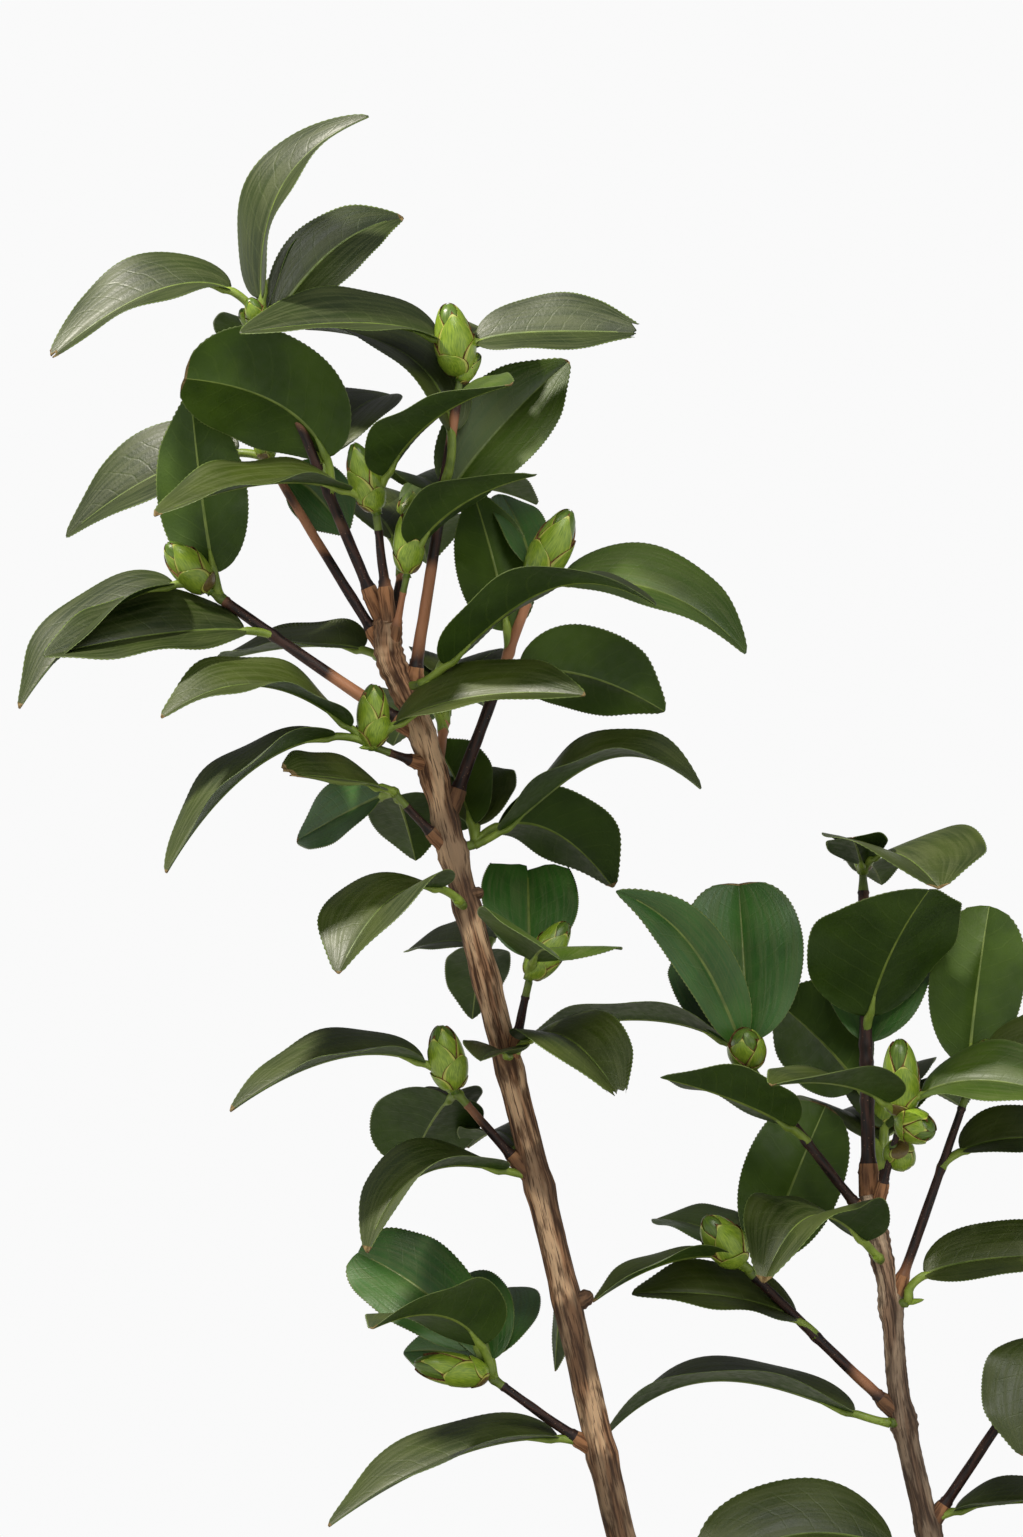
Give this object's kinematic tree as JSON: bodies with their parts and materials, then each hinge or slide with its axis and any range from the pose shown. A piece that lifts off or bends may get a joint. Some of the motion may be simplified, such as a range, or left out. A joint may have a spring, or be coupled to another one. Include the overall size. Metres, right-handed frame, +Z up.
{
  "type": "camellia shrub",
  "caption": "Young evergreen flowering shrub with slender leaning stems from a flared foot, arching glossy oval leaves in side sprays and plump green flower buds at their tips",
  "frame": {"origin": "middle of the flat cut under the trunk's foot, at ground level", "axes": "+Z up, +X to the right of the front view, +Y away from the viewer; both stems lean mostly towards -X"},
  "size_m": [0.4899, 0.2243, 0.9271],
  "materials": {
    "bark": "rough, finely fissured tan to grey-brown bark",
    "twig_bark": "smooth reddish-brown young bark with ring scars",
    "foliage": "leathery dark green leaves, satin above and paler below, with yellow-green flower buds"
  },
  "bodies": {
    "root": {"trunk_foot": "bark", "left_stem": "bark", "right_stem": "bark", "low_left_spray": "foliage", "low_back_leaf": "foliage", "middle_left_spray": "foliage", "middle_right_spray": "foliage", "middle_back_spray": "foliage", "front_leaf": "foliage", "inner_left_spray": "foliage", "fork_spray": "foliage", "right_bough": "twig_bark", "right_spray": "foliage", "bud_spray": "foliage", "upper_left_bough": "twig_bark", "upper_left_spray": "foliage", "fork_back_leaf": "foliage", "crown_left_bough": "twig_bark", "crown_left_spray": "foliage", "crown_top_bough": "twig_bark", "crown_top_spray": "foliage", "crown_front_spray": "foliage", "crown_bud_spray": "foliage", "fork_front_leaf": "foliage", "crown_right_bough": "twig_bark", "crown_right_spray": "foliage", "bottom_leaf": "foliage", "low_right_spray": "foliage", "long_leaf": "foliage", "right_left_bough": "twig_bark", "right_left_spray": "foliage", "right_base_leaf": "foliage", "right_side_bough": "twig_bark", "right_side_spray": "foliage", "right_front_leaf": "foliage", "right_upper_bough": "twig_bark", "right_upper_spray": "foliage", "right_top_bough": "twig_bark", "right_top_spray": "foliage", "right_bud_spray": "foliage", "foot_left_spray": "foliage", "foot_front_spray": "foliage", "foot_back_spray": "foliage", "crown_back_spray": "foliage", "upper_back_spray": "foliage", "foot_right_spray": "foliage", "foot_right_front_spray": "foliage", "foot_right_back_spray": "foliage", "right_back_spray": "foliage"}
  },
  "joints": []
}
